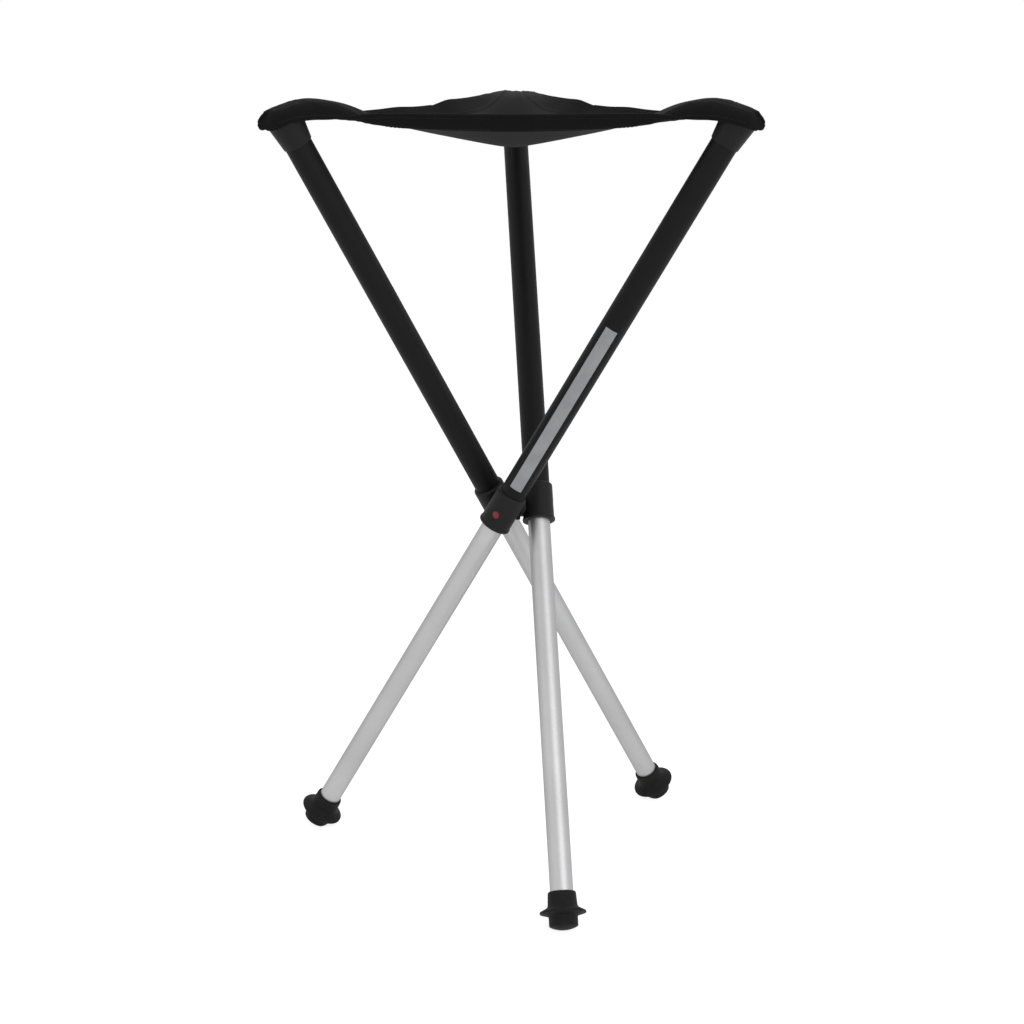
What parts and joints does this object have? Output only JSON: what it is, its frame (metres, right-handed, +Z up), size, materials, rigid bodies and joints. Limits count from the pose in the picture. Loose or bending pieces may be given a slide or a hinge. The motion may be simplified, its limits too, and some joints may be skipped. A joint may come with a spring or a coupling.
{
  "type": "folding stool",
  "caption": "Folding tripod stool: sagging fabric seat on crossed telescopic legs that turn on a central hub, with push-button locks and flanged rubber feet.",
  "frame": {"origin": "centre of the base: middle of the bounding box at floor level, stool open and legs out", "axes": "+Z up, -Y towards the viewer in the picture, +X to the viewer's right"},
  "size_m": [0.415, 0.4432, 0.6903],
  "materials": {
    "black_tube": "semi-matt black powder coat on aluminium",
    "silver_tube": "satin anodised",
    "black_plastic": "fine moulded texture",
    "red_button": "moulded red",
    "bush_plastic": "natural acetal",
    "steel": "plain steel",
    "rubber": "matt",
    "seat_fabric": "black woven polyester"
  },
  "bodies": {
    "hub": {"hub_core": "black_plastic", "pivot_screw_right": "steel", "pivot_screw_rear": "steel", "pivot_screw_left": "steel", "seat_panel": "seat_fabric", "hem_front": "seat_fabric", "hem_right": "seat_fabric", "hem_left": "seat_fabric"},
    "leg_right": {"leg_collar_right": "black_plastic", "upper_tube_right": "black_tube", "end_cap_right": "black_plastic", "seat_pocket_right": "seat_fabric"},
    "lower_right": {"lower_tube_right": "silver_tube", "guide_bush_right": "bush_plastic", "snap_spring_right": "steel", "foot_right": "rubber"},
    "button_right": {"release_button_right": "red_button"},
    "leg_rear": {"leg_collar_rear": "black_plastic", "upper_tube_rear": "black_tube", "end_cap_rear": "black_plastic", "seat_pocket_rear": "seat_fabric"},
    "lower_rear": {"lower_tube_rear": "silver_tube", "guide_bush_rear": "bush_plastic", "snap_spring_rear": "steel", "foot_rear": "rubber"},
    "button_rear": {"release_button_rear": "red_button"},
    "leg_left": {"leg_collar_left": "black_plastic", "upper_tube_left": "black_tube", "end_cap_left": "black_plastic", "seat_pocket_left": "seat_fabric"},
    "lower_left": {"lower_tube_left": "silver_tube", "guide_bush_left": "bush_plastic", "snap_spring_left": "steel", "foot_left": "rubber"},
    "button_left": {"release_button_left": "red_button"}
  },
  "joints": [
    {"name": "fold_right", "type": "hinge", "parent": "hub", "child": "leg_right", "pos_m": [-0.0096, -0.03791, 0.32654], "axis": [-0.4082, -0.9129, 0], "range_deg": [0, 31.5], "deforming": ["seat_panel", "hem_front", "hem_right", "hem_left"]},
    {"name": "fold_rear", "type": "hinge", "parent": "hub", "child": "leg_rear", "pos_m": [0.02323, -0.01414, 0.32654], "axis": [0.9947, 0.103, 0], "range_deg": [0, 31.5]},
    {"name": "fold_left", "type": "hinge", "parent": "hub", "child": "leg_left", "pos_m": [-0.01377, 0.00241, 0.32654], "axis": [-0.5865, 0.8099, 0], "range_deg": [0, 31.5]},
    {"name": "slide_right", "type": "slide", "parent": "leg_right", "child": "lower_right", "axis": [0.4773, -0.2134, 0.8525], "range_m": [0, 0.3]},
    {"name": "slide_rear", "type": "slide", "parent": "leg_rear", "child": "lower_rear", "axis": [-0.0538, 0.52, 0.8525], "range_m": [0, 0.3]},
    {"name": "slide_left", "type": "slide", "parent": "leg_left", "child": "lower_left", "axis": [-0.4234, -0.3066, 0.8525], "range_m": [0, 0.3]},
    {"name": "press_right", "type": "slide", "parent": "leg_right", "child": "button_right", "axis": [0.4082, 0.9129, 0], "range_m": [0, 0.0012], "stiffness_N_per_m": 300},
    {"name": "press_rear", "type": "slide", "parent": "leg_rear", "child": "button_rear", "axis": [-0.9947, -0.103, 0], "range_m": [0, 0.0012], "stiffness_N_per_m": 300},
    {"name": "press_left", "type": "slide", "parent": "leg_left", "child": "button_left", "axis": [0.5865, -0.8099, 0], "range_m": [0, 0.0012], "stiffness_N_per_m": 300}
  ],
  "couplings": [
    {"joint": "fold_rear", "follows": "fold_right", "ratio": 1},
    {"joint": "fold_left", "follows": "fold_right", "ratio": 1}
  ]
}
